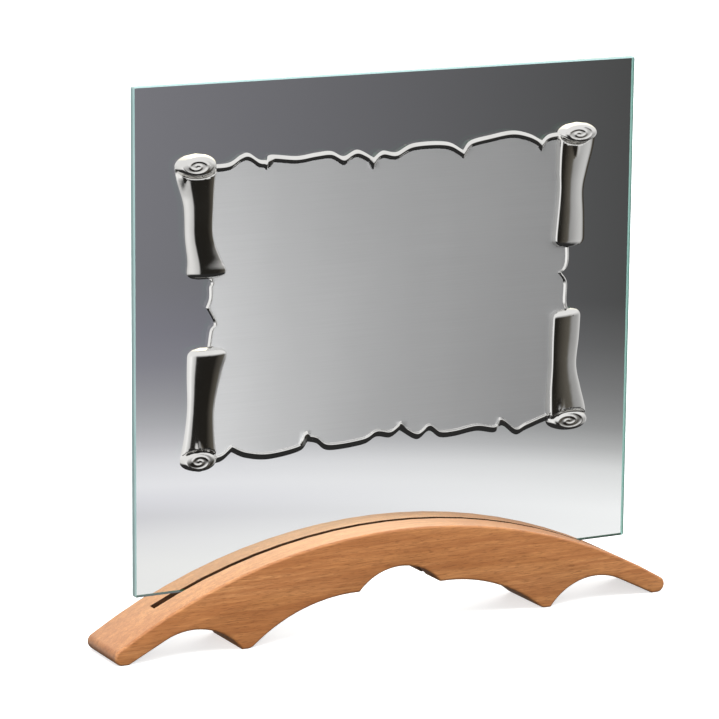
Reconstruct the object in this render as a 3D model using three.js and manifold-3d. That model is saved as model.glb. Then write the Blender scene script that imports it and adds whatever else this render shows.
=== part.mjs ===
// A glass award that stands in a slotted, arched beech base, with a pressed
// metal plate in the shape of a parchment scroll taped to the front of the glass.
// Millimetres, +Z up, front towards -Y. The origin is the middle of the base's
// footprint, on the surface that the award stands on.

import * as THREE from 'three';
import { mergeVertices } from 'three/addons/utils/BufferGeometryUtils.js';
import Module from 'manifold-3d';

// ---------------------------------------------------------------- dimensions

// Base: one board of beech, arched on top and scalloped underneath.
const BASE_LENGTH = 224;
const BASE_HEIGHT = 36.8;
const BOARD_THICKNESS = 25;
const TIP_RADIUS = 3;
const LOBE_RADIUS = 4;
const CENTRE_ARCH = { x: 0, z: 1.2, r: 21.7 };
const LONG_ARCH = { x: 18, z: -48.15, r: 63.5 };
const END_ARCH = { x: 82, z: -14.4, r: 23.9 };
const END_RAMP_SLOPE = 0.5;

// Slot routed down into the top of the board, closed at both ends.
const SLOT_LENGTH = 184;
const SLOT_WIDTH = 3.6;
const SLOT_FLOOR = 13;
const SLOT_Y = 1;

// Pane: 3 mm float glass with ground and polished edges.
const PANE_WIDTH = 200;
const PANE_HEIGHT = 180;
const PANE_THICKNESS = 3;
const PANE_ARRIS = 0.5;
const PANE_CORNER = 0.8;
const PANE_BOTTOM = 20.2;
const PANE_X = 1;

// Setting blocks: two packers that the pane stands on inside the slot.
const BLOCK_LENGTH = 10;
const BLOCK_WIDTH = 3;
const BLOCK_X = 62;
const REST_GAP = 0.02;

// Scroll plate: pressed sheet with a flat field, a raised torn rim and four rolls.
const PLATE_Z = 120;
const SHEET = 0.6;
const RIM_HEIGHT = 1.4;
const HOLLOW_RUN_OUT = 0.4;
const TAPE_THICKNESS = 0.5;
const TAPE_WIDTH = 12;
const TAPE_LENGTH_ACROSS = 116;
const TAPE_LENGTH_UP = 60;
const TAPE_UP_X = 58;
const TAPE_ACROSS_Z = 38;

// Places worked out from those sizes.
const PANE_FRONT = SLOT_Y - PANE_THICKNESS / 2;
const PLATE_BACK = PANE_FRONT - TAPE_THICKNESS;

// Mesh resolution.
const DEGREES_PER_SIDE = 3;
const ROLL_SIDES = 8;
const ROLL_STEPS = 12;
const STEPS_PER_POINT = 2;

// ----------------------------------------------------------------- materials

function finish(color, roughness, metalness) {
  return new THREE.MeshStandardMaterial({ color, roughness, metalness });
}

const beech = finish(0xc68a58, 0.55, 0);
const glass = finish(0xa9c9c0, 0.05, 0);
const nickel = finish(0xb4b6b8, 0.25, 1);
const tapeFoam = finish(0xe6e5e0, 0.9, 0);
const rubber = finish(0x2b2b2b, 0.85, 0);

// ------------------------------------------------------------------- helpers

const wasm = await Module();
wasm.setup();

function solid(geometry) {
  const bare = geometry.clone();
  for (const name of Object.keys(bare.attributes)) {
    if (name !== 'position') bare.deleteAttribute(name);
  }
  const merged = mergeVertices(bare, 1e-4);
  return new wasm.Manifold(new wasm.Mesh({
    numProp: 3,
    vertProperties: new Float32Array(merged.attributes.position.array),
    triVerts: new Uint32Array(merged.index.array),
  }));
}

function geometryOf(manifold) {
  const mesh = manifold.getMesh();
  const geometry = new THREE.BufferGeometry();
  geometry.setAttribute('position', new THREE.BufferAttribute(mesh.vertProperties, 3));
  geometry.setIndex(new THREE.BufferAttribute(mesh.triVerts, 1));
  geometry.computeVertexNormals();
  return geometry;
}

function named(name, geometry, material) {
  const mesh = new THREE.Mesh(geometry, material);
  mesh.name = name;
  return mesh;
}

// Points along a circle's arc in the XZ plane, without the last one.
function arc(circle, from, to) {
  const sides = Math.max(2, Math.ceil(Math.abs(to - from) / THREE.MathUtils.degToRad(DEGREES_PER_SIDE)));
  const points = [];
  for (let i = 0; i < sides; i += 1) {
    const angle = from + ((to - from) * i) / sides;
    points.push(new THREE.Vector2(
      circle.x + circle.r * Math.cos(angle),
      circle.z + circle.r * Math.sin(angle),
    ));
  }
  return points;
}

function angleOn(circle, x, z) {
  return Math.atan2(z - circle.z, x - circle.x);
}

// Extrudes an outline drawn in X and Z from y0 back to y1.
function extrudeXZ(points, y0, y1, options = {}) {
  const geometry = new THREE.ExtrudeGeometry(new THREE.Shape(points), {
    depth: y1 - y0, bevelEnabled: false, curveSegments: 1, ...options,
  });
  geometry.rotateX(Math.PI / 2);
  geometry.translate(0, y1, 0);
  return geometry;
}

function box(x0, x1, y0, y1, z0, z1) {
  const geometry = new THREE.BoxGeometry(x1 - x0, y1 - y0, z1 - z0);
  geometry.translate((x0 + x1) / 2, (y0 + y1) / 2, (z0 + z1) / 2);
  return geometry;
}

// ---------------------------------------------------------------------- base

// Right half of the outline, from the top of the arch round to the middle of the
// underside: arch, round tip, flat foot, ramp, end arch, lobe, long arch, centre arch.
function baseHalfOutline() {
  const tip = { x: BASE_LENGTH / 2 - TIP_RADIUS, z: TIP_RADIUS, r: TIP_RADIUS };
  const rise = BASE_HEIGHT - TIP_RADIUS;
  const top = { x: 0, r: (tip.x ** 2 + rise ** 2 - TIP_RADIUS ** 2) / (2 * (rise - TIP_RADIUS)) };
  top.z = BASE_HEIGHT - top.r;
  const tipJoin = Math.atan2(tip.z - top.z, tip.x);

  const rampAngle = Math.atan2(1, END_RAMP_SLOPE);
  const rampTop = {
    x: END_ARCH.x + END_ARCH.r * Math.cos(rampAngle),
    z: END_ARCH.z + END_ARCH.r * Math.sin(rampAngle),
  };
  const rampFoot = rampTop.x + rampTop.z / END_RAMP_SLOPE;
  const lobeOuter = END_ARCH.x - Math.sqrt(END_ARCH.r ** 2 - END_ARCH.z ** 2);

  const lobe = { z: LOBE_RADIUS, r: LOBE_RADIUS };
  lobe.x = LONG_ARCH.x + Math.sqrt((LONG_ARCH.r + lobe.r) ** 2 - (lobe.z - LONG_ARCH.z) ** 2);
  const lobeJoin = angleOn(LONG_ARCH, lobe.x, lobe.z);

  const gap = Math.hypot(LONG_ARCH.x - CENTRE_ARCH.x, LONG_ARCH.z - CENTRE_ARCH.z);
  const along = (CENTRE_ARCH.r ** 2 - LONG_ARCH.r ** 2 + gap ** 2) / (2 * gap);
  const aside = Math.sqrt(CENTRE_ARCH.r ** 2 - along ** 2);
  const ux = (LONG_ARCH.x - CENTRE_ARCH.x) / gap;
  const uz = (LONG_ARCH.z - CENTRE_ARCH.z) / gap;
  const cusp = {
    x: CENTRE_ARCH.x + ux * along - uz * aside,
    z: CENTRE_ARCH.z + uz * along + ux * aside,
  };

  return [
    ...arc(top, Math.PI / 2, tipJoin),
    ...arc(tip, tipJoin, -Math.PI / 2),
    new THREE.Vector2(tip.x, 0),
    new THREE.Vector2(rampFoot, 0),
    ...arc(END_ARCH, rampAngle, angleOn(END_ARCH, lobeOuter, 0)),
    new THREE.Vector2(lobeOuter, 0),
    ...arc(lobe, -Math.PI / 2, lobeJoin - Math.PI),
    ...arc(LONG_ARCH, lobeJoin, angleOn(LONG_ARCH, cusp.x, cusp.z)),
    ...arc(CENTRE_ARCH, angleOn(CENTRE_ARCH, cusp.x, cusp.z), Math.PI / 2),
    new THREE.Vector2(CENTRE_ARCH.x, CENTRE_ARCH.z + CENTRE_ARCH.r),
  ];
}

function baseBoard() {
  const right = baseHalfOutline();
  const left = right.slice(1, -1).reverse().map((p) => new THREE.Vector2(-p.x, p.y));
  const board = solid(extrudeXZ([...right, ...left], -BOARD_THICKNESS / 2, BOARD_THICKNESS / 2));
  const slot = solid(box(
    -SLOT_LENGTH / 2, SLOT_LENGTH / 2,
    SLOT_Y - SLOT_WIDTH / 2, SLOT_Y + SLOT_WIDTH / 2,
    SLOT_FLOOR, BASE_HEIGHT + 1,
  ));
  return geometryOf(board.subtract(slot));
}

// ---------------------------------------------------------------------- pane

function pane() {
  const w = PANE_WIDTH / 2 - PANE_ARRIS;
  const z0 = PANE_BOTTOM + PANE_ARRIS;
  const z1 = PANE_BOTTOM + PANE_HEIGHT - PANE_ARRIS;
  const c = PANE_CORNER;
  const outline = [
    [-w + c, z0], [w - c, z0], [w, z0 + c], [w, z1 - c],
    [w - c, z1], [-w + c, z1], [-w, z1 - c], [-w, z0 + c],
  ].map(([x, z]) => new THREE.Vector2(PANE_X + x, z));
  return extrudeXZ(outline, PANE_FRONT + PANE_ARRIS, PANE_FRONT + PANE_THICKNESS - PANE_ARRIS, {
    bevelEnabled: true, bevelThickness: PANE_ARRIS, bevelSize: PANE_ARRIS, bevelSegments: 1,
  });
}

function settingBlock(side) {
  const x = side * BLOCK_X;
  return box(
    x - BLOCK_LENGTH / 2, x + BLOCK_LENGTH / 2,
    SLOT_Y - BLOCK_WIDTH / 2, SLOT_Y + BLOCK_WIDTH / 2,
    SLOT_FLOOR + REST_GAP, PANE_BOTTOM - REST_GAP,
  );
}

// -------------------------------------------------------------- scroll plate

// The torn edges, as X and Z from the plate's centre. Each list is one smooth
// stretch, and the sheet is torn to a point where one stretch meets the next.
const TORN_TOP = [
  [[-74, 52], [-64, 52], [-59, 54.5], [-56, 55], [-52, 52.5], [-49, 52]],
  [[-49, 52], [-47.5, 53.8], [-37.5, 52.7], [-30, 53.4], [-24, 53.6], [-19, 51.5], [-13.5, 53.4], [-7, 50.2]],
  [[-7, 50.2], [-3.5, 52.4], [2, 51.6], [9, 54.3], [22, 54], [29, 50.6]],
  [[29, 50.6], [32, 53.8], [40, 55.3], [49, 56.3], [56, 54.8], [61.5, 52]],
  [[61.5, 52], [65, 54.2], [74, 54.6]],
];
const TORN_BOTTOM = [
  [[75, -51], [66, -52], [57, -54.6], [52.5, -56], [47.5, -52.3], [45.5, -52.3]],
  [[45.5, -52.3], [43.5, -54.3], [36, -53], [27, -54], [21, -53.8], [16.5, -51], [11.5, -53.6], [4.5, -49.6]],
  [[4.5, -49.6], [0.5, -51.8], [-5, -51], [-10.5, -53.3], [-24, -54], [-29, -51], [-32.5, -50]],
  [[-32.5, -50], [-36, -53.2], [-48, -54.8], [-57, -53.4], [-62.5, -50.8]],
  [[-62.5, -50.8], [-67, -53.8], [-74, -54]],
];
const TORN_LEFT = [
  [[-72, -14], [-70.8, -6.5], [-69.3, -4], [-72.3, 1.8]],
  [[-72.3, 1.8], [-71.1, 5], [-71, 9], [-70.4, 10.3], [-72, 14]],
];
const TORN_RIGHT = [
  [[73.5, 14], [73.8, 8.2], [73, 4.5], [70.8, 2.8]],
  [[70.8, 2.8], [73.2, -1], [73.2, -8.5], [75, -14]],
];

// How far the raised rim reaches in from the torn edge, along the top and bottom
// edges and along the two sides.
const RIM_WIDTH = 2.4;
const SIDE_RIM_WIDTH = 1.4;

// Rolls: sections up the roll, as [z, middle, half width] from the plate's centre.
const ROLLS = {
  topLeft: [[56, -76, 4.5], [52.5, -76, 7.7], [47, -76, 7.2], [38, -75.1, 5.4], [27, -74.9, 5.2],
    [19, -73, 6.2], [15, -72.4, 7], [12, -73, 4.5]],
  bottomLeft: [[-12.5, -71.3, 4.5], [-15.5, -71.9, 7.3], [-22, -73, 6.4], [-34, -74.2, 5.1],
    [-44, -75, 5.7], [-51, -75.2, 6.7], [-54, -75.2, 6.2], [-56, -75.2, 3.5]],
  topRight: [[58, 77.5, 3.5], [55, 76.2, 7.8], [49, 75.8, 7.8], [40, 75, 6.2], [33, 74.6, 5.2],
    [24, 74.4, 5.9], [16.5, 74, 6.5], [12.3, 73.6, 3.5]],
  bottomRight: [[-11, 71, 3.5], [-14.5, 73.2, 6.3], [-22, 73, 6.1], [-32, 72.9, 5.3],
    [-40, 74, 6.6], [-49, 74.3, 8.8], [-53.5, 74, 7.5], [-56, 73.8, 4]],
};
const ROLL_HEIGHT_PER_HALF_WIDTH = 0.62;

function smooth(stretch) {
  const curve = new THREE.CatmullRomCurve3(stretch.map(([x, z]) => new THREE.Vector3(x, z, 0)));
  return curve.getPoints(stretch.length * STEPS_PER_POINT).slice(0, -1).map((p) => new THREE.Vector2(p.x, p.y));
}

// The sheet's outline, clockwise from the top left, drawn in by the given margins.
function sheetOutline(drawTopBottom, drawSides) {
  const shift = (points, dx, dz) => points.map((p) => new THREE.Vector2(p.x + dx, p.y + dz + PLATE_Z));
  return [
    ...shift(TORN_TOP.flatMap(smooth), 0, -drawTopBottom),
    ...shift(TORN_RIGHT.flatMap(smooth), -drawSides, 0),
    ...shift(TORN_BOTTOM.flatMap(smooth), 0, drawTopBottom),
    ...shift(TORN_LEFT.flatMap(smooth), drawSides, 0),
  ];
}

// A half-round roll lofted through its sections, flat behind at the plate's back.
// The hollow in it is the same shape drawn in by the sheet's thickness, and it
// runs out behind so that it opens the roll towards the glass.
function rollBody(sections, hollow) {
  const path = new THREE.CatmullRomCurve3(sections.map(([z, x, half]) => new THREE.Vector3(x, half, z)));
  const inset = hollow ? SHEET : 0;
  const rings = [];
  for (let i = 0; i <= ROLL_STEPS; i += 1) {
    const at = path.getPoint(i / ROLL_STEPS);
    const half = at.y - inset;
    const rise = at.y * ROLL_HEIGHT_PER_HALF_WIDTH - inset;
    const towardsMiddle = hollow ? SHEET * (1 - (2 * i) / ROLL_STEPS) : 0;
    const z = at.z + PLATE_Z - towardsMiddle;
    const ring = [];
    for (let k = 0; k <= ROLL_SIDES; k += 1) {
      const angle = (Math.PI * k) / ROLL_SIDES;
      ring.push([at.x - half * Math.cos(angle), PLATE_BACK - rise * Math.sin(angle), z]);
    }
    if (hollow) {
      ring.unshift([at.x - half, PLATE_BACK + HOLLOW_RUN_OUT, z]);
      ring.push([at.x + half, PLATE_BACK + HOLLOW_RUN_OUT, z]);
    }
    rings.push(ring);
  }
  return loft(rings);
}

// Closes a stack of equal rings into one solid, with a flat cap at each end.
function loft(rings) {
  const count = rings[0].length;
  const index = [];
  for (let i = 0; i + 1 < rings.length; i += 1) {
    for (let k = 0; k < count; k += 1) {
      const a = i * count + k;
      const b = i * count + ((k + 1) % count);
      index.push(a, a + count, b, b, a + count, b + count);
    }
  }
  const end = (rings.length - 1) * count;
  for (let k = 1; k + 1 < count; k += 1) {
    index.push(0, k, k + 1);
    index.push(end, end + k + 1, end + k);
  }
  const geometry = new THREE.BufferGeometry();
  geometry.setAttribute('position', new THREE.Float32BufferAttribute(rings.flat(2), 3));
  geometry.setIndex(index);
  return geometry;
}

function scrollPlate() {
  const blank = solid(extrudeXZ(sheetOutline(0, 0), PLATE_BACK - RIM_HEIGHT, PLATE_BACK));
  const field = solid(extrudeXZ(
    sheetOutline(RIM_WIDTH, SIDE_RIM_WIDTH), PLATE_BACK - RIM_HEIGHT - 1, PLATE_BACK - SHEET,
  ));
  let plate = blank.subtract(field);
  for (const sections of Object.values(ROLLS)) plate = plate.add(solid(rollBody(sections, false)));
  for (const sections of Object.values(ROLLS)) plate = plate.subtract(solid(rollBody(sections, true)));
  return geometryOf(plate);
}

// ---------------------------------------------------------------------- tape

function tape(x, z, lengthX, lengthZ) {
  return box(
    x - lengthX / 2, x + lengthX / 2,
    PLATE_BACK + REST_GAP, PANE_FRONT - REST_GAP,
    PLATE_Z + z - lengthZ / 2, PLATE_Z + z + lengthZ / 2,
  );
}

// ------------------------------------------------------------------ assembly

const award = new THREE.Group();
award.name = 'glass_scroll_award';

const stand = new THREE.Group();
stand.add(named('base', baseBoard(), beech));
stand.add(named('setting_block_left', settingBlock(-1), rubber));
stand.add(named('setting_block_right', settingBlock(1), rubber));

const panel = new THREE.Group();
panel.add(named('glass_pane', pane(), glass));
panel.add(named('scroll_plate', scrollPlate(), nickel));
panel.add(named('tape_top', tape(0, TAPE_ACROSS_Z, TAPE_LENGTH_ACROSS, TAPE_WIDTH), tapeFoam));
panel.add(named('tape_bottom', tape(0, -TAPE_ACROSS_Z, TAPE_LENGTH_ACROSS, TAPE_WIDTH), tapeFoam));
panel.add(named('tape_left', tape(-TAPE_UP_X, 0, TAPE_WIDTH, TAPE_LENGTH_UP), tapeFoam));
panel.add(named('tape_right', tape(TAPE_UP_X, 0, TAPE_WIDTH, TAPE_LENGTH_UP), tapeFoam));

award.add(stand, panel);

export default award;
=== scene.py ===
"""The looks of the glass scroll award: a glass pane in an arched beech base, with a
pressed metal scroll plate on its front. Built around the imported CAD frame, in metres."""

import math

import bmesh
import bpy
import numpy as np
from mathutils import Matrix, Vector
from mathutils.geometry import delaunay_2d_cdt


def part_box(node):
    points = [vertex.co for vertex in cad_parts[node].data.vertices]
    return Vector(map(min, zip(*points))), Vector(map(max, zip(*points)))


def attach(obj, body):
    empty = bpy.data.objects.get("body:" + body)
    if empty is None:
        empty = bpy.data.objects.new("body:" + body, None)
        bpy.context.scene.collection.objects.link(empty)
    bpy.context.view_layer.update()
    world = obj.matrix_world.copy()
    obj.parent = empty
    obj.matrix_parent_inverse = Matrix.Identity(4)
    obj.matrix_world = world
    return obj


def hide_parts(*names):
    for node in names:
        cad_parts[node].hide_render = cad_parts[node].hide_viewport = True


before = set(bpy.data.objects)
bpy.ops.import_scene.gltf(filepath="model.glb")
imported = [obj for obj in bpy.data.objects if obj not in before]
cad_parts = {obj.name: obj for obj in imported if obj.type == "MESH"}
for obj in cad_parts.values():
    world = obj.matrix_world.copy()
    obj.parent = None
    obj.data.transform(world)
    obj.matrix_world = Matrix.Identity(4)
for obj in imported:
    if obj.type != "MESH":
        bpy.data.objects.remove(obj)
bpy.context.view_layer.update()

MM = 0.001

# ------------------------------------------------------------------ camera and light

CAMERA_TARGET = Vector((-0.0111, 0.0, 0.0975))
CAMERA_DISTANCE = 1.3153
CAMERA_YAW = 27.67
CAMERA_PITCH = 12.07
CAMERA_ROLL = 0.5
CAMERA_LENS = 184.9
SENSOR_WIDTH = 36.0

FLOOR_SIZE = 12.0
FLOOR_COLOUR = (0.75, 0.75, 0.75, 1)
FLOOR_GLOW = 0.8
# The plain light from all round: its strength above and below, and the height of the
# band between the two, as a direction's own z.
AMBIENT = 0.5
AMBIENT_BELOW = 0.1
AMBIENT_BAND = 0.2

# The sun lamp: where it shines from, its strength and its spread in degrees.
TOP_LIGHT = ((-0.06, -0.36, 1.0), 2.65, 36)
# Box lamps: (place, what it faces, width and height, watts), in metres.
FRONT_BOX = ((-0.7, -1.3, 0.5), (0, 0, 0.05), (0.8, 0.8), 10.5)
BACK_BOX = ((0.7, 1.2, 0.7), (0, 0, 0.05), (0.9, 0.9), 14)
PLATE_BOX = ((-0.27, -0.08, 0.04), (0, 0, 0.11), (0.08, 0.06), 3.4)


def unlit(name, make_colour):
    """A plain emission material whose colour is the socket that make_colour(nt) returns."""
    mat = bpy.data.materials.new(name)
    mat.use_nodes = True
    nt = mat.node_tree
    nt.nodes.clear()
    out = nt.nodes.new("ShaderNodeOutputMaterial")
    glow = nt.nodes.new("ShaderNodeEmission")
    nt.links.new(make_colour(nt), glow.inputs["Color"])
    nt.links.new(glow.outputs[0], out.inputs["Surface"])
    return mat


def ramp(nt, fac, stops):
    """A colour ramp through (position, grey or colour) stops."""
    node = nt.nodes.new("ShaderNodeValToRGB")
    elements = node.color_ramp.elements
    while len(elements) < len(stops):
        elements.new(0.5)
    for element, (position, value) in zip(elements, stops):
        element.position = position
        element.color = (*value, 1) if isinstance(value, tuple) else (value, value, value, 1)
    nt.links.new(fac, node.inputs["Fac"])
    return node.outputs["Color"]


def math_node(nt, operation, a, b=None, c=None, clamp=False):
    """The result of a maths operation on sockets or plain numbers."""
    node = nt.nodes.new("ShaderNodeMath")
    node.operation = operation
    node.use_clamp = clamp
    for socket, value in zip(node.inputs, (a, b, c)):
        if value is None:
            continue
        if isinstance(value, (int, float)):
            socket.default_value = value
        else:
            nt.links.new(value, socket)
    return node.outputs[0]


def share_between(nt, value, start, end):
    """0 at start and 1 at end, and clamped beyond them."""
    span = end - start
    return math_node(nt, "MULTIPLY_ADD", value, 1 / span, -start / span, clamp=True)


def split_coords(nt):
    """The x, y and z of a place in the object's own coordinates."""
    coords = nt.nodes.new("ShaderNodeTexCoord")
    split = nt.nodes.new("ShaderNodeSeparateXYZ")
    nt.links.new(coords.outputs["Object"], split.inputs[0])
    return split.outputs


def only_seen_by(obj, glossy=False, transmission=False):
    """Hides a stage piece from every ray except the kinds named."""
    obj.visible_camera = False
    obj.visible_diffuse = False
    obj.visible_shadow = False
    obj.visible_volume_scatter = False
    obj.visible_glossy = glossy
    obj.visible_transmission = transmission


def add_object(name, data):
    obj = bpy.data.objects.new(name, data)
    bpy.context.scene.collection.objects.link(obj)
    return obj


def make_camera():
    """A long lens at the award's front left, looking a little down."""
    data = bpy.data.cameras.new("camera")
    data.lens = CAMERA_LENS
    data.sensor_width = SENSOR_WIDTH
    data.clip_start = 0.05
    data.clip_end = 50.0
    camera = add_object("camera", data)
    yaw, pitch = math.radians(CAMERA_YAW), math.radians(CAMERA_PITCH)
    level = math.cos(pitch)
    back = Vector((-math.sin(yaw) * level, -math.cos(yaw) * level, math.sin(pitch)))
    turn = (-back).to_track_quat("-Z", "Y").to_matrix().to_4x4()
    roll = Matrix.Rotation(math.radians(CAMERA_ROLL), 4, "Z")
    camera.matrix_world = Matrix.Translation(CAMERA_TARGET + back * CAMERA_DISTANCE) @ turn @ roll
    bpy.context.scene.camera = camera


def make_floor():
    """The pale floor, partly lit by itself so that the shadows on it stay faint."""
    mesh = bpy.data.meshes.new("floor")
    half = FLOOR_SIZE / 2
    corners = [(-half, -half, 0), (half, -half, 0), (half, half, 0), (-half, half, 0)]
    mesh.from_pydata(corners, [], [(0, 1, 2, 3)])
    floor = add_object("floor", mesh)
    mat = bpy.data.materials.new("pale_floor")
    mat.use_nodes = True
    shader = mat.node_tree.nodes["Principled BSDF"]
    shader.inputs["Base Color"].default_value = FLOOR_COLOUR
    shader.inputs["Emission Color"].default_value = FLOOR_COLOUR
    shader.inputs["Emission Strength"].default_value = FLOOR_GLOW
    shader.inputs["Roughness"].default_value = 0.9
    shader.inputs["Specular IOR Level"].default_value = 0.1
    mesh.materials.append(mat)
    floor.visible_diffuse = False
    floor.visible_glossy = False
    floor.visible_transmission = False


def make_world():
    """White to the camera and through the glass, and a soft light on everything else."""
    world = bpy.data.worlds.new("studio")
    bpy.context.scene.world = world
    world.use_nodes = True
    nt = world.node_tree
    path = nt.nodes.new("ShaderNodeLightPath")
    background = nt.nodes["Background"]
    background.inputs["Color"].default_value = (1, 1, 1, 1)
    coords = nt.nodes.new("ShaderNodeTexCoord")
    split = nt.nodes.new("ShaderNodeSeparateXYZ")
    nt.links.new(coords.outputs["Generated"], split.inputs[0])
    rise = share_between(nt, split.outputs["Z"], -AMBIENT_BAND, AMBIENT_BAND)
    ambient = math_node(nt, "MULTIPLY_ADD", rise, AMBIENT - AMBIENT_BELOW, AMBIENT_BELOW)
    seen, through = path.outputs["Is Camera Ray"], path.outputs["Is Transmission Ray"]
    white = math_node(nt, "MAXIMUM", seen, through)
    nt.links.new(math_node(nt, "MAXIMUM", ambient, white), background.inputs["Strength"])


def hide_lamp(lamp):
    """Leaves a lamp's light on plain surfaces, and hides the lamp itself."""
    lamp.visible_camera = False
    lamp.visible_glossy = False
    lamp.visible_transmission = False


def area_lamp(name, place, target, size, watts):
    """A rectangular lamp that faces a target and is itself never seen."""
    data = bpy.data.lights.new(name, "AREA")
    data.shape = "RECTANGLE"
    data.size, data.size_y = size
    data.energy = watts
    lamp = add_object(name, data)
    lamp.location = place
    lamp.rotation_euler = (Vector(target) - Vector(place)).to_track_quat("-Z", "Y").to_euler()
    hide_lamp(lamp)
    return lamp


def sun_lamp(name, direction, strength, spread):
    """An even light from far away in the direction given, spread over some degrees."""
    data = bpy.data.lights.new(name, "SUN")
    data.energy = strength
    data.angle = math.radians(spread)
    lamp = add_object(name, data)
    lamp.rotation_euler = Vector(direction).to_track_quat("Z", "Y").to_euler()
    hide_lamp(lamp)
    return lamp


# The studio behind the award, a curved screen seen only through the glass: dark above and
# white below, darkest at the top right, and white at both ends. Stops are (height in
# metres, grey or colour), the turns are in degrees from the screen's middle, and the left
# stops give way to the right ones over the spread at each side of the middle.
BACKDROP_DISTANCE = 0.5
BACKDROP_HALF_TURN = 75
BACKDROP_FADE_FROM = 48
BACKDROP_PANELS = 50
BACKDROP_LOW = -0.3
BACKDROP_HIGH = 0.3
BACKDROP_LEFT = [
    (-0.3, (0.88, 0.87, 0.86)), (-0.113, (0.89, 0.88, 0.87)), (-0.1, (0.82, 0.81, 0.82)),
    (-0.088, (0.68, 0.67, 0.7)), (-0.08, (0.76, 0.75, 0.79)), (-0.072, (0.85, 0.84, 0.87)),
    (-0.0618, (0.76, 0.75, 0.78)), (-0.0515, (0.58, 0.57, 0.6)), (-0.0413, (0.45, 0.445, 0.47)),
    (-0.031, (0.36, 0.355, 0.38)), (-0.021, (0.3, 0.295, 0.325)), (-0.0108, (0.25, 0.245, 0.28)),
    (0.005, (0.22, 0.215, 0.25)), (0.03, (0.203, 0.2, 0.221)), (0.3, (0.208, 0.204, 0.225)),
]
BACKDROP_RIGHT = [
    (-0.3, 1.0), (-0.0824, 0.98), (-0.072, 0.87), (-0.0618, 0.76), (-0.0515, 0.48), (-0.0413, 0.31),
    (-0.031, 0.24), (-0.021, 0.19), (-0.0005, 0.12), (0.022, 0.073), (0.3, 0.063),
]
BACKDROP_SPREAD = 0.13


def make_backdrop():
    """The curved screen, with its middle straight behind the award as the camera sees it."""
    yaw = math.radians(CAMERA_YAW)
    away = Vector((math.sin(yaw), math.cos(yaw), 0))
    across = Vector((math.cos(yaw), -math.sin(yaw), 0))
    mesh = bpy.data.meshes.new("backdrop")
    vertices = []
    for k in range(BACKDROP_PANELS + 1):
        turn = math.radians(BACKDROP_HALF_TURN * (2 * k / BACKDROP_PANELS - 1))
        x, y = BACKDROP_DISTANCE * math.sin(turn), BACKDROP_DISTANCE * math.cos(turn)
        vertices += [(x, y, BACKDROP_LOW), (x, y, BACKDROP_HIGH)]
    faces = [(2 * k, 2 * k + 2, 2 * k + 3, 2 * k + 1) for k in range(BACKDROP_PANELS)]
    mesh.from_pydata(vertices, [], faces)
    backdrop = add_object("backdrop", mesh)
    backdrop.matrix_world = Matrix((across, away, Vector((0, 0, 1)))).transposed().to_4x4()
    mesh.materials.append(unlit("backdrop", backdrop_colour))
    only_seen_by(backdrop, transmission=True)


def backdrop_by_height(nt, height, stops):
    low, high = BACKDROP_LOW, BACKDROP_HIGH
    share = share_between(nt, height, low, high)
    return ramp(nt, share, [((z - low) / (high - low), value) for z, value in stops])


def backdrop_colour(nt):
    x, y, z = split_coords(nt)
    left = backdrop_by_height(nt, z, BACKDROP_LEFT)
    right = backdrop_by_height(nt, z, BACKDROP_RIGHT)
    aside = share_between(nt, x, -BACKDROP_SPREAD, BACKDROP_SPREAD)
    turn = math_node(nt, "ABSOLUTE", math_node(nt, "ARCTAN2", x, y))
    fade_from, fade_to = math.radians(BACKDROP_FADE_FROM), math.radians(BACKDROP_HALF_TURN)
    fade = share_between(nt, turn, fade_from, fade_to)
    return mix_colour(nt, fade, mix_colour(nt, aside, left, right), (1.0, 1.0, 1.0))


# The studio that the metal, the glass and the lacquer mirror, a sphere coloured by where
# it is seen. Stops are (degrees turned from straight in front to the right, grey or colour).
MIRRORED_RADIUS = 0.9
MIRRORED_CENTRE = (0, 0, 0.1)
MIRRORED_AROUND = [
    (-180, 0.12), (-120, 0.9), (-60, 1.15), (-24, 0.65), (-19, (0.018, 0.017, 0.015)),
    (28, (0.02, 0.018, 0.015)), (40, (0.08, 0.072, 0.06)), (51, (0.13, 0.12, 0.10)),
    (56, 0.36), (80, 0.6), (110, 0.8), (140, 0.15), (180, 0.12),
]
MIRRORED_ABOVE = [
    (-180, (1.8, 1.7, 1.4)), (-140, 1.0), (110, 1.0), (152, (2.6, 2.45, 1.9)),
    (180, (1.8, 1.7, 1.4)),
]
MIRRORED_BELOW = (0.03, 0.03, 0.03)
# Where the colours around turn into those above and below, as shares of the radius.
ABOVE_FROM = 0.02
ABOVE_TO = 0.42
BELOW_FROM = -0.34
BELOW_TO = -0.6


def make_mirrored_studio():
    mesh = bpy.data.meshes.new("mirrored_studio")
    bm = bmesh.new()
    bmesh.ops.create_uvsphere(bm, u_segments=96, v_segments=48, radius=MIRRORED_RADIUS)
    bm.to_mesh(mesh)
    bm.free()
    studio = add_object("mirrored_studio", mesh)
    studio.location = MIRRORED_CENTRE
    mesh.materials.append(unlit("mirrored_studio", mirrored_colour))
    only_seen_by(studio, glossy=True)


def mirrored_by_turn(nt, turn, stops):
    share = share_between(nt, turn, -math.pi, math.pi)
    return ramp(nt, share, [(degrees / 360 + 0.5, value) for degrees, value in stops])


def mirrored_colour(nt):
    x, y, z = split_coords(nt)
    turn = math_node(nt, "ARCTAN2", x, math_node(nt, "MULTIPLY", y, -1.0))
    around = mirrored_by_turn(nt, turn, MIRRORED_AROUND)
    above = mirrored_by_turn(nt, turn, MIRRORED_ABOVE)
    rise = math_node(nt, "DIVIDE", z, MIRRORED_RADIUS)
    lower = mix_colour(nt, share_between(nt, rise, BELOW_FROM, BELOW_TO), around, MIRRORED_BELOW)
    return mix_colour(nt, share_between(nt, rise, ABOVE_FROM, ABOVE_TO), lower, above)


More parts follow.
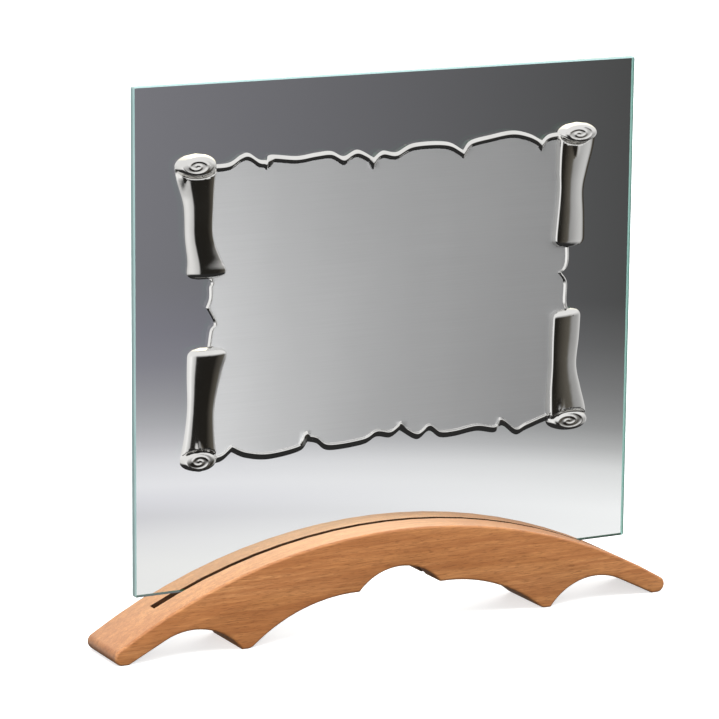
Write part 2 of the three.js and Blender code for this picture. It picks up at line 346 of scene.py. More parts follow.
def make_stage():
    """Camera, surroundings and lamps. Returns the two lamps that the plate isn't lit by."""
    make_camera()
    make_floor()
    make_world()
    make_backdrop()
    make_mirrored_studio()
    top = sun_lamp("top_light", *TOP_LIGHT)
    front = area_lamp("front_box", *FRONT_BOX)
    area_lamp("back_box", *BACK_BOX)
    return top, front


# -------------------------------------------------------------------------- materials


def new_material(name):
    mat = bpy.data.materials.new(name)
    mat.use_nodes = True
    return mat, mat.node_tree, mat.node_tree.nodes["Principled BSDF"]


def object_coords(nt, scale):
    """The object's own coordinates, scaled along X, Y and Z."""
    coords = nt.nodes.new("ShaderNodeTexCoord")
    mapping = nt.nodes.new("ShaderNodeMapping")
    mapping.inputs["Scale"].default_value = scale
    nt.links.new(coords.outputs["Object"], mapping.inputs["Vector"])
    return mapping.outputs["Vector"]


def noise(nt, scale, detail=3.0, roughness=0.5, distortion=0.0):
    """Noise in the object's own coordinates. scale is per metre along X, Y and Z."""
    node = nt.nodes.new("ShaderNodeTexNoise")
    node.inputs["Scale"].default_value = 1.0
    node.inputs["Detail"].default_value = detail
    node.inputs["Roughness"].default_value = roughness
    node.inputs["Distortion"].default_value = distortion
    nt.links.new(object_coords(nt, scale), node.inputs["Vector"])
    return node.outputs["Fac"]


def mix_colour(nt, fac, a, b):
    """The colour a where fac is 0 and b where it is 1. Each can be a socket or a constant."""
    node = nt.nodes.new("ShaderNodeMix")
    node.data_type = "RGBA"
    for socket, value in ((node.inputs[0], fac), (node.inputs[6], a), (node.inputs[7], b)):
        if isinstance(value, (int, float)):
            socket.default_value = value
        elif isinstance(value, tuple):
            socket.default_value = (*value, 1)
        else:
            nt.links.new(value, socket)
    return node.outputs[2]


def bump(nt, shader, height, strength, distance):
    """Gives a shader a fine relief, where distance is its depth in metres."""
    node = nt.nodes.new("ShaderNodeBump")
    node.inputs["Strength"].default_value = strength
    node.inputs["Distance"].default_value = distance
    nt.links.new(height, node.inputs["Height"])
    nt.links.new(node.outputs["Normal"], shader.inputs["Normal"])


def beech_material():
    """Clear-lacquered beech: pale brown with a fine grain and short dark flecks along X."""
    mat, nt, shader = new_material("beech")
    broad = noise(nt, (7, 90, 90), 3.0, 0.55, 0.5)
    streaks = noise(nt, (30, 620, 620), 3.0, 0.6, 0.3)
    fibres = noise(nt, (170, 2300, 2300), 3.0, 0.7)
    flecks = noise(nt, (300, 2700, 2700), 2.0, 0.5)
    dashes = ramp(nt, flecks, [(0.35, 1.0), (0.44, 0.0)])
    tone = ramp(nt, broad, [
        (0.3, (0.55, 0.225, 0.078)), (0.5, (0.64, 0.275, 0.094)), (0.7, (0.72, 0.335, 0.13)),
    ])
    bands = ramp(nt, streaks, [(0.38, 0.7), (0.62, 0.0)])
    banded = mix_colour(nt, bands, tone, (0.40, 0.14, 0.042))
    grain = ramp(nt, fibres, [(0.35, 0.0), (0.65, 0.55)])
    grained = mix_colour(nt, grain, banded, (0.38, 0.145, 0.05))
    wood = mix_colour(nt, math_node(nt, "MULTIPLY", dashes, 0.42), grained, (0.20, 0.07, 0.022))
    nt.links.new(wood, shader.inputs["Base Color"])
    nt.links.new(ramp(nt, fibres, [(0.3, 0.38), (0.7, 0.54)]), shader.inputs["Roughness"])
    shader.inputs["Coat Weight"].default_value = 0.8
    shader.inputs["Coat Roughness"].default_value = 0.28
    bump(nt, shader, fibres, 0.25, 0.0001)
    return mat


def slot_shade_material():
    """The bare walls of the slot, painted near-black brown: painted shade for the dark of the
    narrow slot.
    """
    mat, nt, shader = new_material("slot_painted_shade")
    mottle = noise(nt, (60, 900, 900), 3.0, 0.6)
    # Painted shade: near-black browns, mottled by the noise.
    nt.links.new(ramp(nt, mottle, [(0.3, (0.03, 0.011, 0.004)), (0.7, (0.075, 0.028, 0.011))]),
                 shader.inputs["Base Color"])
    shader.inputs["Roughness"].default_value = 0.8
    bump(nt, shader, mottle, 0.3, 0.0001)
    return mat


def glass_material():
    """Clear float glass, which absorbs a little red and so turns green in thick layers."""
    mat, nt, shader = new_material("float_glass")
    shader.inputs["Base Color"].default_value = (1, 1, 1, 1)
    shader.inputs["Roughness"].default_value = 0.0
    shader.inputs["IOR"].default_value = 1.52
    shader.inputs["Transmission Weight"].default_value = 1.0
    depth = nt.nodes.new("ShaderNodeVolumeAbsorption")
    depth.inputs["Color"].default_value = (0.0, 0.82, 0.66, 1)
    depth.inputs["Density"].default_value = 6.0
    nt.links.new(depth.outputs[0], nt.nodes["Material Output"].inputs["Volume"])
    return mat


def glass_edge_material():
    """The ground and polished edge of the pane, where the light inside it comes out green."""
    mat, nt, shader = new_material("polished_edge")
    streaks = noise(nt, (900, 60, 60), 3.0, 0.6)
    nt.links.new(ramp(nt, streaks, [(0.3, (0.36, 0.55, 0.54)), (0.7, (0.44, 0.62, 0.61))]),
                 shader.inputs["Base Color"])
    nt.links.new(ramp(nt, streaks, [(0.3, 0.12), (0.7, 0.22)]), shader.inputs["Roughness"])
    shader.inputs["IOR"].default_value = 1.52
    bump(nt, shader, streaks, 0.05, 0.0001)
    return mat


def bright_metal_material():
    """Bright nickel plating on the rolls and the torn rim, faintly smeared."""
    mat, nt, shader = new_material("bright_nickel")
    shader.inputs["Metallic"].default_value = 1.0
    smears = noise(nt, (120, 120, 60), 3.0)
    nt.links.new(ramp(nt, smears, [(0.3, (0.72, 0.71, 0.69)), (0.7, (0.78, 0.775, 0.76))]),
                 shader.inputs["Base Color"])
    nt.links.new(ramp(nt, smears, [(0.3, 0.06), (0.7, 0.12)]), shader.inputs["Roughness"])
    bump(nt, shader, noise(nt, (300, 300, 300), 2.0), 0.04, 0.0004)
    return mat


def satin_metal_material():
    """The satin field of the plate, finely brushed from side to side."""
    mat, nt, shader = new_material("satin_nickel")
    shader.inputs["Metallic"].default_value = 0.6
    grains = noise(nt, (5200, 5200, 5200), 2.0)
    clouds = noise(nt, (30, 30, 18), 2.0)
    brushing = noise(nt, (25, 25, 2400), 3.0, 0.6)
    tone = ramp(nt, clouds, [(0.3, (0.535, 0.54, 0.545)), (0.7, (0.565, 0.57, 0.575))])
    lines = ramp(nt, brushing, [(0.3, 0.16), (0.7, 0.0)])
    nt.links.new(mix_colour(nt, lines, tone, (0.4, 0.4, 0.405)), shader.inputs["Base Color"])
    nt.links.new(ramp(nt, grains, [(0.3, 0.46), (0.7, 0.54)]), shader.inputs["Roughness"])
    bump(nt, shader, grains, 0.12, 0.00005)
    return mat


def tape_material():
    """The foam of the double-sided tape."""
    mat, nt, shader = new_material("foam_tape")
    cells = noise(nt, (2500, 2500, 2500), 2.0)
    nt.links.new(ramp(nt, cells, [(0.3, (0.66, 0.65, 0.62)), (0.7, (0.78, 0.77, 0.74))]),
                 shader.inputs["Base Color"])
    shader.inputs["Roughness"].default_value = 0.85
    bump(nt, shader, cells, 0.3, 0.0001)
    return mat


def rubber_material():
    """The black rubber of the setting blocks."""
    mat, nt, shader = new_material("rubber")
    grains = noise(nt, (1800, 1800, 1800), 3.0)
    nt.links.new(ramp(nt, grains, [(0.3, (0.018, 0.018, 0.018)), (0.7, (0.035, 0.035, 0.035))]),
                 shader.inputs["Base Color"])
    shader.inputs["Roughness"].default_value = 0.8
    bump(nt, shader, grains, 0.3, 0.0001)
    return mat


# ---------------------------------------------------------------------- base and pane

SHARP_ANGLE = math.radians(28)
MITRE_LIMIT = 0.35


def front_outline(node):
    """The outline of a node's front face in order, as (x, z) in metres."""
    bm = bmesh.new()
    bm.from_mesh(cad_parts[node].data)
    bmesh.ops.remove_doubles(bm, verts=bm.verts, dist=1e-6)
    foremost = min(v.co.y for v in bm.verts)
    front = {f for f in bm.faces if max(v.co.y for v in f.verts) < foremost + 1e-5}
    follow = {}
    for face in front:
        for loop in face.loops:
            if loop.link_loop_radial_next.face not in front:
                follow[loop.vert] = loop.link_loop_next.vert
    at = min(follow, key=lambda v: (v.co.x, v.co.z))
    outline = []
    for _ in range(len(follow)):
        outline.append(Vector((at.co.x, at.co.z)))
        at = follow[at]
    bm.free()
    return outline


def inset_outline(outline, inset):
    """The outline moved inwards by inset, with mitred corners."""
    moved = []
    for before, at, after in zip(outline[-1:] + outline[:-1], outline, outline[1:] + outline[:1]):
        a, b = (at - before).normalized(), (after - at).normalized()
        na, nb = Vector((-a.y, a.x)), Vector((-b.y, b.x))
        middle = (na + nb).normalized()
        moved.append(at + middle * inset / max(MITRE_LIMIT, middle.dot(nb)))
    return moved


# The slot for the glass and the board's thickness, as in the CAD part, and the round on
# the board's long edges.
SLOT_HALF_LENGTH = 92 * MM
SLOT_HALF_WIDTH = 1.8 * MM
SLOT_MIDDLE_Y = 1 * MM
SLOT_FLOOR = 13 * MM
ABOVE_BOARD = 60 * MM
BOARD_HALF = 12.5 * MM
BOARD_ROUND = 0.9 * MM
BOARD_ROUND_STEPS = 5


def board_mesh(name, outline, middle_y, half, ease, steps):
    """A flat board with the outline, its front and back edges rounded by ease."""
    rows = []
    for k in range(steps + 1):
        turn = math.pi / 2 * k / steps
        rows.append((-half + ease * (1 - math.sin(turn)), ease * (1 - math.cos(turn))))
    rows = rows[::-1] + [(-y, inset) for y, inset in rows]
    vertices = []
    for y, inset in rows:
        vertices += [(p.x, middle_y + y, p.y) for p in inset_outline(outline, inset)]
    count = len(outline)
    last = (len(rows) - 1) * count
    faces = [tuple(range(count)), tuple(reversed(range(last, last + count)))]
    for start in range(0, last, count):
        for i in range(count):
            j = (i + 1) % count
            faces.append((start + j, start + i, start + count + i, start + count + j))
    mesh = bpy.data.meshes.new(name)
    mesh.from_pydata(vertices, [], faces)
    return mesh


def shade_board(obj):
    """Smooth shading, with flat faces at the front and back."""
    obj.data.shade_smooth()
    for polygon in obj.data.polygons:
        if abs(polygon.normal.y) > 0.999:
            polygon.use_smooth = False
    obj.data.set_sharp_from_angle(angle=SHARP_ANGLE)


def box_object(name, low, high):
    """A plain box between two corners."""
    mesh = bpy.data.meshes.new(name)
    bm = bmesh.new()
    bmesh.ops.create_cube(bm, size=1.0)
    size = Vector(high) - Vector(low)
    middle = (Vector(high) + Vector(low)) / 2
    for v in bm.verts:
        v.co = Vector((v.co.x * size.x, v.co.y * size.y, v.co.z * size.z)) + middle
    bm.to_mesh(mesh)
    bm.free()
    return add_object(name, mesh)


def apply_modifiers(obj):
    """Makes the result of an object's modifiers its own mesh."""
    evaluated = obj.evaluated_get(bpy.context.evaluated_depsgraph_get())
    mesh = bpy.data.meshes.new_from_object(evaluated)
    obj.modifiers.clear()
    obj.data = mesh


def make_base():
    """The beech base: the CAD outline with rounded edges and the slot cut into it."""
    outline = front_outline("base")
    board = board_mesh("beech_base", outline, 0, BOARD_HALF, BOARD_ROUND, BOARD_ROUND_STEPS)
    board.materials.append(beech_material())
    base = add_object("beech_base", board)
    low = (-SLOT_HALF_LENGTH, SLOT_MIDDLE_Y - SLOT_HALF_WIDTH, SLOT_FLOOR)
    high = (SLOT_HALF_LENGTH, SLOT_MIDDLE_Y + SLOT_HALF_WIDTH, ABOVE_BOARD)
    cutter = box_object("slot_cutter", low, high)
    # The slot's walls take the cutter's material, a painted shade for the dark inside the slot.
    cutter.data.materials.append(slot_shade_material())
    cut = base.modifiers.new("slot", "BOOLEAN")
    cut.operation = "DIFFERENCE"
    cut.material_mode = "TRANSFER"
    cut.object = cutter
    cut.solver = "EXACT"
    apply_modifiers(base)
    bpy.data.objects.remove(cutter)
    shade_board(base)
    base.visible_glossy = False
    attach(base, "stand")
    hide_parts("base")


# The pane's arrises are taken off and its corners a little rounded. Its edge looks green
# on the sides and the top, where the outward normal passes this share.
PANE_ARRIS = 0.5 * MM
PANE_CORNER = 0.8 * MM
PANE_CORNER_STEPS = 5
PANE_EDGE_NORMAL = 0.6


def rounded_rectangle(low, high, radius, steps):
    """The outline of a box seen from the front, with round corners, as (x, z)."""
    points = []
    corners = [(high.x, low.z, -90), (high.x, high.z, 0), (low.x, high.z, 90), (low.x, low.z, 180)]
    for x, z, start in corners:
        cx = x - radius if x == high.x else x + radius
        cz = z - radius if z == high.z else z + radius
        for k in range(steps + 1):
            turn = math.radians(start + 90 * k / steps)
            points.append(Vector((cx + radius * math.cos(turn), cz + radius * math.sin(turn))))
    return points


def make_pane():
    """The pane: clear glass with a green polished edge."""
    low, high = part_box("glass_pane")
    outline = rounded_rectangle(low, high, PANE_CORNER, PANE_CORNER_STEPS)
    middle, half = (low.y + high.y) / 2, (high.y - low.y) / 2
    pane = add_object("clear_pane", board_mesh("clear_pane", outline, middle, half, PANE_ARRIS, 1))
    shade_board(pane)
    pane.data.materials.append(glass_material())
    pane.data.materials.append(glass_edge_material())
    for polygon in pane.data.polygons:
        side, _, up = polygon.normal
        polygon.material_index = int(max(abs(side), up) > PANE_EDGE_NORMAL)
    pane.visible_shadow = False
    pane.visible_glossy = False
    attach(pane, "panel")
    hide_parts("glass_pane")


def dress_node(node, mat):
    """Gives a CAD solid its material and leaves its shape alone."""
    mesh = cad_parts[node].data
    if not mesh.materials:
        mesh.materials.append(mat)
    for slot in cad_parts[node].material_slots:
        slot.material = mat


# ------------------------------------------------------------------------- scroll plate

# Everything about the plate is in millimetres from its centre, x to the right and z up.
PLATE_CENTRE_Z = 120.0
SHEET = 0.6
SHEET_SHARP_ANGLE = math.radians(60)

# The torn edges, as in the CAD part. Each list is one smooth stretch, and the sheet is
# torn where one stretch meets the next.
TORN_TOP = [
    [(-74, 52), (-64, 52), (-59, 54.5), (-56, 55), (-52, 52.5), (-49, 52)],
    [(-49, 52), (-47.5, 53.8), (-37.5, 52.7), (-30, 53.4), (-24, 53.6), (-19, 51.5),
     (-13.5, 53.4), (-7, 50.2)],
    [(-7, 50.2), (-3.5, 52.4), (2, 51.6), (9, 54.3), (22, 54), (29, 50.6)],
    [(29, 50.6), (32, 53.8), (40, 55.3), (49, 56.3), (56, 54.8), (61.5, 52)],
    [(61.5, 52), (65, 54.2), (74, 54.6)],
]
TORN_BOTTOM = [
    [(-74, -54), (-67, -53.8), (-62.5, -50.8)],
    [(-62.5, -50.8), (-57, -53.4), (-48, -54.8), (-36, -53.2), (-32.5, -50)],
    [(-32.5, -50), (-29, -51), (-24, -54), (-10.5, -53.3), (-5, -51), (0.5, -51.8),
     (4.5, -49.6)],
    [(4.5, -49.6), (11.5, -53.6), (16.5, -51), (21, -53.8), (27, -54), (36, -53),
     (43.5, -54.3), (45.5, -52.3)],
    [(45.5, -52.3), (47.5, -52.3), (52.5, -56), (57, -54.6), (66, -52), (75, -51)],
]
TORN_LEFT = [
    [(-72, -14), (-70.8, -6.5), (-69.3, -4), (-72.3, 1.8)],
    [(-72.3, 1.8), (-71.1, 5), (-71, 9), (-70.4, 10.3), (-72, 14)],
]
TORN_RIGHT = [
    [(75, -14), (73.2, -8.5), (73.2, -1), (70.8, 2.8)],
    [(70.8, 2.8), (73, 4.5), (73.8, 8.2), (73.5, 14)],
]

# The raised rim reaches this far in from the torn edge, and further at each tear:
# (place along the edge, extra reach, half width of the tear).
RIM_WIDTH = 2.7
SIDE_RIM_WIDTH = 1.5
TEARS_TOP = [
    (-48, 2.0, 2.0), (-18.6, 0.6, 2.5), (-7.4, 1.9, 1.9), (30.3, 1.4, 2.0), (61.2, 1.5, 1.8),
]
TEARS_BOTTOM = [(-33.8, 2.8, 2.2), (5.3, 1.0, 1.7), (45.8, 0.6, 1.6)]
# The rim's cross-sections, from the torn edge inwards: (share of the width, height). The
# sides have the same one as the top.
RIM_TOP = [
    (0, 0.65), (0.12, 0.88), (0.3, 1.13), (0.43, 1.3), (0.5, 1.34), (0.57, 1.3),
    (0.7, 1.1), (0.85, 0.84), (0.95, 0.66), (1.0, 0.6),
]
RIM_BOTTOM = [
    (0, 0.65), (0.12, 0.84), (0.35, 1.1), (0.55, 1.28), (0.72, 1.42), (0.79, 1.42),
    (0.85, 1.24), (0.92, 0.9), (0.97, 0.68), (1.0, 0.6),
]
# Rows of vertices on the field just inside the rim, as shares of the rim's width.
FIELD_ROWS = (1.04, 1.15)
# A vertex this share of the rim's width off the sheet still counts as on its edge.
EDGE_SLACK = 0.02

# The rolls. out is 1 where the roll's outer side is at +x; crest is the crest's place
# outwards, as a share of the half width; roundness is how fast the roll falls from it;
# outer_fall is how late it turns down at its outer side. sections are (z, middle, half
# width) along the roll. spiral is its spiral end's (middle z, half height, and 1 at the
# roll's top end or -1 at its bottom end). crease runs from the spiral to its tip.
ROLLS = {
    "top_left": {
        "out": -1, "crest": -0.38, "roundness": 0.215, "outer_fall": 6,
        "sections": [
            (57.2, -76.1, 7.8), (52.7, -76.1, 7.9), (47, -76.1, 7.0), (38, -75.1, 5.5),
            (27, -74.9, 5.2), (19, -73, 6.2), (15, -72.2, 7.2), (11.8, -72.4, 7.2),
        ],
        "spiral": (52.0, 4.0, 1),
        "crease": ((-81.8, 48.2), (-81.0, 43.6)),
    },
    "bottom_left": {
        "out": -1, "crest": -0.16, "roundness": 0.215, "outer_fall": 16,
        "sections": [
            (-12.4, -71.8, 7.4), (-16, -72, 7.3), (-22, -73, 6.4), (-34, -74.2, 5.1),
            (-44, -74.8, 5.7), (-52.2, -75.3, 6.9), (-56.5, -75.3, 6.9),
        ],
        "spiral": (-52.3, 4.0, -1),
        "crease": ((-75.8, -48.4), (-76.4, -42.4)),
    },
    "top_right": {
        "out": 1, "crest": -0.6, "roundness": 0.215, "outer_fall": 8,
        "sections": [
            (58.4, 76.1, 8.1), (53.7, 76.1, 8.1), (48, 75.5, 8.0), (40, 74.5, 6.8),
            (33, 74, 5.8), (24, 73.8, 6.5), (16.5, 73.5, 7.0), (12, 73.5, 6.9),
        ],
        "spiral": (54.0, 3.7, 1),
        "crease": ((74.6, 49.4), (74.5, 43.0)),
    },
    "bottom_right": {
        "out": 1, "crest": -0.5, "roundness": 0.13, "outer_fall": 12,
        "sections": [
            (-10.9, 73, 6.6), (-15, 72.9, 6.6), (-22, 72.6, 6.5), (-32, 72.2, 6.0),
            (-40, 72.7, 7.3), (-48, 73.7, 8.6), (-52, 74, 8.5), (-56.3, 74, 8.5),
        ],
        "spiral": (-52.2, 4.0, -1),
        "crease": ((69.5, -48.4), (69.9, -43.2)),
    },
}
# A roll's height at its crest as a share of its half width, its height at its foot, and
# how late it turns down at its inner side.
ROLL_RISE = 0.48
ROLL_FOOT = 0.08
ROLL_INNER_FALL = 40
# The round at a roll's plain end: its reach, its power, and the roll's width at the tip.
ROLL_END_REACH = 3.2
ROLL_END_POWER = 2.4
ROLL_END_WIDTH = 0.35

# The spiral fills this share of the end's oval, with its middle this far to the right.
SPIRAL_SHARE = 0.76
SPIRAL_SHIFT = -0.9
SPIRAL_TURNS = 2.2
# The spiral's ridge: its height, how narrow it is, and where it fades out, at the eye and
# at the outer end, as shares of the spiral.
SPIRAL_RIDGE = 0.18
SPIRAL_RIDGE_POWER = 2.5
SPIRAL_EYE = 0.12
SPIRAL_FADE_TO = 1.04
SPIRAL_FADE_RUN = 0.08
# The end stands over the roll, leans back and drops off at its border.
SPIRAL_STAND = 0.3
SPIRAL_TILT = 0.2
SPIRAL_BORDER_POWER = 9
# The roll is sunk below the end inside the border, and back at its own height at the reach.
SPIRAL_STEP = 0.35
SPIRAL_BORDER = 0.86
SPIRAL_REACH = 1.12

# A crease: its width, its height, and how far before the spiral's edge it starts, as a
# share of its length.
CREASE_WIDTH = 0.9
CREASE_HEIGHT = 0.7
CREASE_START = -0.3

# The vertices: their distance on the torn edges; the field's grid, its half size and its
# distance from the rim, as a share of the rim's width; the rows and columns of a roll; and
# the rings and spokes of a spiral, with the gap between the rings and the roll's rows. Rings
# past SPIRAL_INNER are kept only where the roll goes on.
FINE_STEP = 0.5
FIELD_STEP = 2.0
FIELD_HALF = (72, 54)
FIELD_CLEARANCE = 0.2
ROLL_ROW_STEP = 0.9
ROLL_ROW_CROWDING = 0.4
ROLL_COLUMNS = 11
SPIRAL_RINGS = 28
SPIRAL_SPOKES = 84
SPIRAL_CLEARANCE = 0.04
SPIRAL_INNER = 0.995

# Where two heights meet, they run into each other over this much.
BLEND = 0.35


def curve_through(points, step):
    """Points about a step apart on a Catmull-Rom curve through the given ones."""
    pts = [Vector(p) for p in points]
    pts = [2 * pts[0] - pts[1], *pts, 2 * pts[-1] - pts[-2]]
    out = []
    for a, b, c, d in zip(pts, pts[1:], pts[2:], pts[3:]):
        count = max(1, round((c - b).length / step))
        for i in range(count):
            t = i / count
            out.append(0.5 * ((2 * b) + (c - a) * t + (2 * a - 5 * b + 4 * c - d) * t ** 2
                              + (3 * b - a - 3 * c + d) * t ** 3))
    out.append(pts[-2])
    return out


def torn_edge(stretches):
    """All the stretches of one torn edge as one run of points."""
    edge = []
    for stretch in stretches:
        edge += curve_through(stretch, FINE_STEP)[:-1]
    return edge + [Vector(stretches[-1][-1])]


def lookup(points, key, value):
    """A function of one coordinate along an edge, through its points in rising order."""
    xs = np.maximum.accumulate(np.array([p[key] for p in points]))
    ys = np.array([p[value] for p in points])
    return lambda at: np.interp(at, xs, ys)


def tear_reach(tears, at):
    """How much further in than its plain width the rim reaches at a place."""
    reach = np.zeros_like(at)
    for place, extra, half in tears:
        reach += extra * np.clip(1 - np.abs(at - place) / half, 0, 1)
    return reach


class Torn:
    """The four torn edges of the sheet, and how far in from them any place is."""

    def __init__(self):
        stretches = {"top": TORN_TOP, "bottom": TORN_BOTTOM, "left": TORN_LEFT, "right": TORN_RIGHT}
        self.edges = {name: torn_edge(edge) for name, edge in stretches.items()}
        self.top = lookup(self.edges["top"], 0, 1)
        self.bottom = lookup(self.edges["bottom"], 0, 1)
        self.left = lookup(self.edges["left"], 1, 0)
        self.right = lookup(self.edges["right"], 1, 0)

    def outline(self):
        """The four edges as one closed loop, with straight steps at the corners."""
        e = self.edges
        corners = [*e["bottom"], *e["right"], *reversed(e["top"]), *reversed(e["left"])]
        loop = []
        for a, b in zip(corners, corners[1:] + corners[:1]):
            count = max(1, round((b - a).length / FINE_STEP))
            loop += [a.lerp(b, i / count) for i in range(count) if (b - a).length > 1e-3]
        return loop

    def shares(self, x, z):
        """How far in each place is across the four rims: 0 at the edge and 1 at the field."""
        return [
            (self.top(x) - z) / (RIM_WIDTH + tear_reach(TEARS_TOP, x)),
            (z - self.bottom(x)) / (RIM_WIDTH + tear_reach(TEARS_BOTTOM, x)),
            (x - self.left(z)) / SIDE_RIM_WIDTH,
            (self.right(z) - x) / SIDE_RIM_WIDTH,
        ]

    def height(self, x, z):
        """The height of the field and the rim, and 0 off the sheet."""
        height = np.full_like(x, SHEET)
        shares = self.shares(x, z)
        for share, profile in zip(shares, (RIM_TOP, RIM_BOTTOM, RIM_TOP, RIM_TOP)):
            at, rise = zip(*profile)
            height = np.maximum(height, np.interp(share, at, rise, right=SHEET))
        return np.where(np.min(shares, axis=0) < -EDGE_SLACK, 0, height)


class Roll:
    """One waisted half-round roll with a spiral end."""

    def __init__(self, shape):
        self.out = shape["out"]
        self.crest = shape["crest"]
        self.roundness = shape["roundness"]
        self.outer_fall = shape["outer_fall"]
        self.crease = shape["crease"]
        rows = sorted(shape["sections"])
        middles = curve_through([(z, x) for z, x, _ in rows], ROLL_ROW_STEP)
        halves = curve_through([(z, half) for z, _, half in rows], ROLL_ROW_STEP)
        self.middle = lookup(middles, 0, 1)
        self.full_half = lookup(halves, 0, 1)
        cz, b, self.up = shape["spiral"]
        self.low = rows[0][0] if self.up > 0 else cz - b
        self.high = cz + b if self.up > 0 else rows[-1][0]
        self.spiral = (float(self.middle(cz)), cz, float(self.full_half(cz)), b)

    def end_share(self, z):
        """1 along the roll, falling to 0 on a round at its plain end."""
        from_end = z - self.low if self.up > 0 else self.high - z
        near = np.clip(from_end / ROLL_END_REACH, 0, 1)
        return np.sqrt(1 - (1 - near) ** ROLL_END_POWER)

    def half(self, z):
        """The half width: the roll's own, and beyond the spiral's middle the spiral's."""
        _, cz, a, b = self.spiral
        beyond = np.clip(self.up * (z - cz) / b, 0, 1)
        plain = self.full_half(z) * (ROLL_END_WIDTH + (1 - ROLL_END_WIDTH) * self.end_share(z))
        return np.where(beyond > 0, a * np.sqrt(1 - beyond ** 2), plain)

    def outline(self):
        rows = self.rows()
        right = [Vector((self.middle(z) + self.half(z), z)) for z in rows]
        left = [Vector((self.middle(z) - self.half(z), z)) for z in rows]
        return right + left[::-1]

    def rows(self):
        """The heights of the rows of vertices, a little closer towards both ends."""
        count = round((self.high - self.low) / ROLL_ROW_STEP)
        even = np.linspace(0, 1, count + 1)
        eased = (1 - np.cos(math.pi * even)) / 2
        shares = (1 - ROLL_ROW_CROWDING) * even + ROLL_ROW_CROWDING * eased
        return self.low + (self.high - self.low) * shares

    def points(self):
        """Rows of vertices along the roll, and rings of them on its spiral end."""
        found = []
        across = np.sin(np.linspace(-math.pi / 2, math.pi / 2, 2 * ROLL_COLUMNS + 1))[1:-1]
        cx, cz, a, b = self.spiral
        for z in self.rows()[1:-1]:
            for s in across:
                x = self.middle(z) + s * self.half(z)
                if math.hypot((x - cx) / a, (z - cz) / b) > SPIRAL_REACH + SPIRAL_CLEARANCE:
                    found.append(Vector((x, z)))
        for ring, share in enumerate(np.linspace(0, SPIRAL_REACH, SPIRAL_RINGS + 1)[1:]):
            spokes = max(8, round(SPIRAL_SPOKES * share))
            for k in range(spokes):
                angle = 2 * math.pi * (k + 0.5 * (ring % 2)) / spokes
                x, z = cx + a * share * math.cos(angle), cz + b * share * math.sin(angle)
                if share < SPIRAL_INNER or self.up * (z - cz) < 0:
                    found.append(Vector((x, z)))
        return found

    def body_height(self, x, z):
        """The height of the roll without its spiral end."""
        along = (z > self.low) & (z < self.high)
        z = np.clip(z, self.low, self.high)
        half = np.maximum(self.half(z), 1e-6)
        s = self.out * (x - self.middle(z)) / half
        crown = ROLL_RISE - self.roundness * (s - self.crest) ** 2
        border = 1 - np.clip(np.abs(s), 0, 1) ** np.where(s > 0, self.outer_fall, ROLL_INNER_FALL)
        height = ROLL_FOOT + (self.full_half(z) * crown - ROLL_FOOT) * border * self.end_share(z)
        return np.where(along & (np.abs(s) < 1), height, 0)

    def height(self, x, z):
        """The height of the whole roll, and 0 off it."""
        body = self.body_height(x, z)
        body = body + self.crease_height(x, z) * (body > 0)
        cx, cz, a, b = self.spiral
        share = np.hypot((x - cx) / a, (z - cz) / b)
        head = self.spiral_height(x, z, share)
        sunk = np.minimum(body, np.maximum(head - SPIRAL_STEP, ROLL_FOOT))
        rise = np.clip((share - SPIRAL_BORDER) / (SPIRAL_REACH - SPIRAL_BORDER), 0, 1)
        body = sunk + (body - sunk) * rise ** 2 * (3 - 2 * rise)
        return smooth_max(body, head, BLEND)

    def spiral_height(self, x, z, share):
        """The height of the spiral end, where share is 0 at its middle and 1 at its border."""
        cx, cz, a, b = self.spiral
        dz = (z - cz) / b
        stand = self.full_half(np.array([cz]))[0] * ROLL_RISE + SPIRAL_STAND
        near = np.hypot((x - cx - SPIRAL_SHIFT) / a, dz) / SPIRAL_SHARE
        border = 1 - np.clip(share, 0, 1) ** SPIRAL_BORDER_POWER
        turn = np.arctan2(dz, (x - cx - SPIRAL_SHIFT) * self.out / a) / (2 * math.pi)
        across = SPIRAL_TURNS * near - turn
        ridge = (0.5 + 0.5 * np.cos(2 * math.pi * across)) ** SPIRAL_RIDGE_POWER
        outer = np.clip((SPIRAL_FADE_TO - near) / SPIRAL_FADE_RUN, 0, 1)
        fade = np.clip(near / SPIRAL_EYE, 0, 1) * outer
        top = stand - SPIRAL_RIDGE + SPIRAL_RIDGE * ridge * fade - SPIRAL_TILT * (z - cz)
        return np.where(share < 1, ROLL_FOOT + (top - ROLL_FOOT) * border, 0)

    def crease_height(self, x, z):
        """A raised crease that narrows and falls away towards its tip."""
        (x0, z0), (x1, z1) = self.crease
        along = Vector((x1 - x0, z1 - z0))
        length = along.length
        ux, uz = along / length
        t = ((x - x0) * ux + (z - z0) * uz) / length
        aside = np.abs((z - z0) * ux - (x - x0) * uz)
        width = CREASE_WIDTH * np.clip(1.05 - t, 0.05, 1)
        ridge = CREASE_HEIGHT * np.exp(-((aside / width) ** 2))
        return ridge * np.clip(1 - t, 0, 1) * (t > CREASE_START)


def smooth_max(a, b, reach):
    """The larger of two heights, rounded off where both are nearly the same."""
    near = np.clip(reach - np.abs(a - b), 0, None) / reach
    return np.maximum(a, b) + near ** 2 * reach / 4 * (np.minimum(a, b) > 0)


def inside(polygon, x, z):
    """Which of the places lie inside the polygon, by counting the edges crossed."""
    odd = np.zeros(len(x), bool)
    for (ax, az), (bx, bz) in zip(polygon, polygon[1:] + polygon[:1]):
        if az == bz:
            continue
        odd ^= ((az > z) != (bz > z)) & (x < (bx - ax) * (z - az) / (bz - az) + ax)
    return odd


def on_rolls(rolls, x, z):
    """Which of the places lie on any of the rolls."""
    found = np.zeros(len(x), bool)
    for roll in rolls:
        found |= inside([tuple(p) for p in roll.outline()], x, z)
    return found


def rim_rows(profile):
    """Where the rows of vertices along a rim are, as shares of the rim's width."""
    return [share for share, _ in profile[1:]] + list(FIELD_ROWS)


